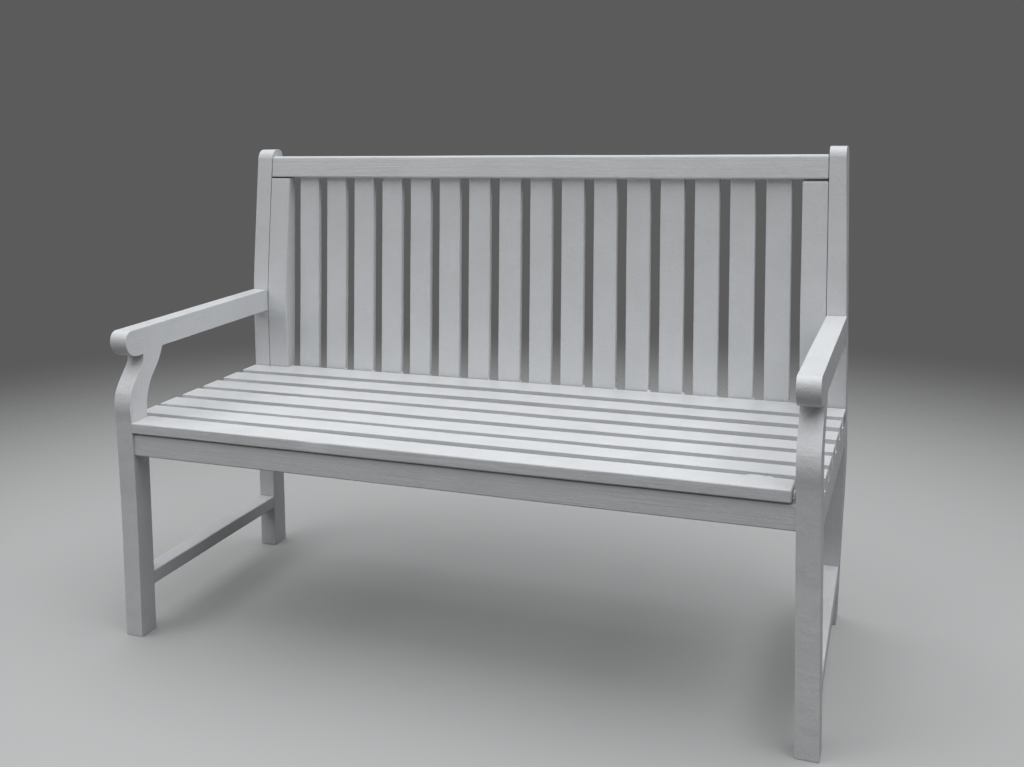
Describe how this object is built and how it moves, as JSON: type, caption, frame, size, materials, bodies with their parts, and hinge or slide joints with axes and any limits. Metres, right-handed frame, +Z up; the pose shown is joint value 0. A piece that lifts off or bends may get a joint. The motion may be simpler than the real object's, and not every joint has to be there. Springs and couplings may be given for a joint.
{
  "type": "miniature garden bench",
  "caption": "Miniature garden bench in white-painted wood with a slatted seat, a leaning slatted back and level arms that end in rolled noses over swept front legs.",
  "frame": {"origin": "centre of the bench's bounding box in plan, at the level of the feet's undersides", "axes": "+X along the bench's length to the right of someone facing its front, +Y from front to back, +Z up"},
  "size_m": [0.18, 0.091, 0.1295],
  "materials": {
    "white_paint": "satin white paint with a fine orange-peel texture",
    "bare_beech": "bare wood"
  },
  "bodies": {
    "root": {"apron_dowel_left": "bare_beech", "apron_dowel_right": "bare_beech", "arm_front_dowel_left": "bare_beech", "arm_front_dowel_right": "bare_beech", "arm_left": "white_paint", "arm_rear_dowel_left": "bare_beech", "arm_rear_dowel_right": "bare_beech", "arm_right": "white_paint", "back_slat_01": "white_paint", "back_slat_02": "white_paint", "back_slat_03": "white_paint", "back_slat_04": "white_paint", "back_slat_05": "white_paint", "back_slat_06": "white_paint", "back_slat_07": "white_paint", "back_slat_08": "white_paint", "back_slat_09": "white_paint", "back_slat_10": "white_paint", "back_slat_11": "white_paint", "back_slat_12": "white_paint", "back_slat_13": "white_paint", "back_slat_14": "white_paint", "back_slat_15": "white_paint", "back_slat_16": "white_paint", "back_stile_left": "white_paint", "back_stile_right": "white_paint", "back_top_rail": "white_paint", "front_apron": "white_paint", "front_leg_left": "white_paint", "front_leg_right": "white_paint", "rear_post_left": "white_paint", "rear_post_right": "white_paint", "rear_rail": "white_paint", "rear_rail_dowel_left": "bare_beech", "rear_rail_dowel_right": "bare_beech", "seat_slat_1": "white_paint", "seat_slat_2": "white_paint", "seat_slat_3": "white_paint", "seat_slat_4": "white_paint", "seat_slat_5": "white_paint", "seat_slat_6": "white_paint", "seat_slat_7": "white_paint", "side_rail_front_dowel_left": "bare_beech", "side_rail_front_dowel_right": "bare_beech", "side_rail_left": "white_paint", "side_rail_rear_dowel_left": "bare_beech", "side_rail_rear_dowel_right": "bare_beech", "side_rail_right": "white_paint", "stretcher_front_dowel_left": "bare_beech", "stretcher_front_dowel_right": "bare_beech", "stretcher_left": "white_paint", "stretcher_rear_dowel_left": "bare_beech", "stretcher_rear_dowel_right": "bare_beech", "stretcher_right": "white_paint", "top_rail_dowel_left": "bare_beech", "top_rail_dowel_right": "bare_beech"}
  },
  "joints": []
}
